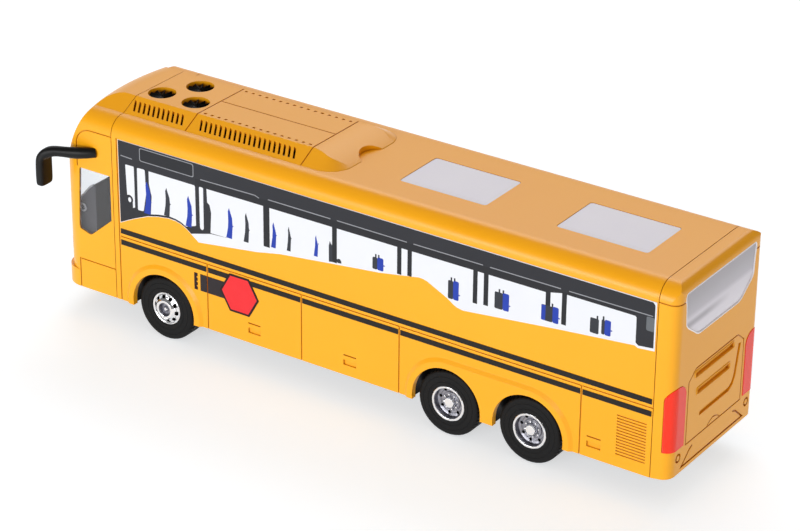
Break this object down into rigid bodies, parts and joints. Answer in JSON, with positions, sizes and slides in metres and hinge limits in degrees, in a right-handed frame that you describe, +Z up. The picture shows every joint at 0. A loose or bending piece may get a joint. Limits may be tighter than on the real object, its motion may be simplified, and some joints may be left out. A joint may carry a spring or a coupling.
{
  "type": "toy coach",
  "caption": "Toy coach with a moulded yellow shell, roof pod, printed window stickers and plated wheels that roll on steel axles, with a flywheel friction drive.",
  "frame": {"origin": "on the ground, under the middle of the bounding box", "axes": "+X forward to the nose, +Y to the left side, +Z up"},
  "size_m": [0.3398, 0.099, 0.1119],
  "materials": {
    "yellow_abs": "moulded school-bus yellow ABS, satin gloss",
    "black_abs": "black ABS, fine mould texture",
    "clear_pane": "clear polystyrene",
    "milky_pane": "milky white polystyrene",
    "red_lens": "translucent red polystyrene",
    "window_print": "printed vinyl sticker",
    "stripe_print": "dark printed stripe",
    "sign_print": "red printed sticker",
    "tyre_pvc": "black soft PVC",
    "plated_abs": "chrome-plated ABS",
    "steel": "plain steel",
    "gear_pom": "natural white POM"
  },
  "bodies": {
    "bus": {"body_shell": "yellow_abs", "front_cap": "yellow_abs", "rear_cap": "yellow_abs", "roof_pod": "yellow_abs", "pod_liner": "black_abs", "windscreen": "clear_pane", "cab_window_left": "clear_pane", "cab_window_right": "clear_pane", "rear_window": "milky_pane", "skylight_front": "milky_pane", "skylight_rear": "milky_pane", "tail_lamp_left": "red_lens", "tail_lamp_right": "red_lens", "headlamp_left": "clear_pane", "headlamp_right": "clear_pane", "mirror_left": "black_abs", "mirror_right": "black_abs", "window_sticker_left": "window_print", "window_sticker_right": "window_print", "stripes_left": "stripe_print", "stripes_right": "stripe_print", "stop_sign": "sign_print", "chassis": "black_abs", "dashboard": "black_abs", "chassis_screws": "steel", "drive_case": "black_abs", "drive_cover": "black_abs", "drive_screws": "steel", "idler_pin": "steel"},
    "front_wheels": {"front_axle": "steel", "front_hub_left": "plated_abs", "front_hub_right": "plated_abs", "front_tyre_left": "tyre_pvc", "front_tyre_right": "tyre_pvc"},
    "middle_wheels": {"middle_axle": "steel", "middle_hub_left": "plated_abs", "middle_hub_right": "plated_abs", "middle_tyre_left": "tyre_pvc", "middle_tyre_right": "tyre_pvc", "axle_gear": "gear_pom"},
    "rear_wheels": {"rear_axle": "steel", "rear_hub_left": "plated_abs", "rear_hub_right": "plated_abs", "rear_tyre_left": "tyre_pvc", "rear_tyre_right": "tyre_pvc"},
    "idler": {"idler_gear": "gear_pom"},
    "flywheel": {"flywheel_shaft": "steel", "flywheel_pinion": "gear_pom", "flywheel": "steel"}
  },
  "joints": [
    {"name": "front_axle_turn", "type": "hinge", "parent": "bus", "child": "front_wheels", "pos_m": [0.10393, 0, 0.016], "axis": [0, 1, 0], "continuous": true},
    {"name": "middle_axle_turn", "type": "hinge", "parent": "bus", "child": "middle_wheels", "pos_m": [-0.05607, 0, 0.016], "axis": [0, 1, 0], "continuous": true},
    {"name": "rear_axle_turn", "type": "hinge", "parent": "bus", "child": "rear_wheels", "pos_m": [-0.09888, 0, 0.016], "axis": [0, 1, 0], "continuous": true},
    {"name": "idler_turn", "type": "hinge", "parent": "bus", "child": "idler", "pos_m": [-0.04883, 0, 0.02324], "axis": [0, 1, 0], "continuous": true},
    {"name": "flywheel_turn", "type": "hinge", "parent": "bus", "child": "flywheel", "pos_m": [-0.03859, 0, 0.02324], "axis": [0, 1, 0], "continuous": true}
  ],
  "couplings": [
    {"joint": "idler_turn", "follows": "middle_axle_turn", "ratio": -2.4},
    {"joint": "flywheel_turn", "follows": "middle_axle_turn", "ratio": 5.76}
  ]
}
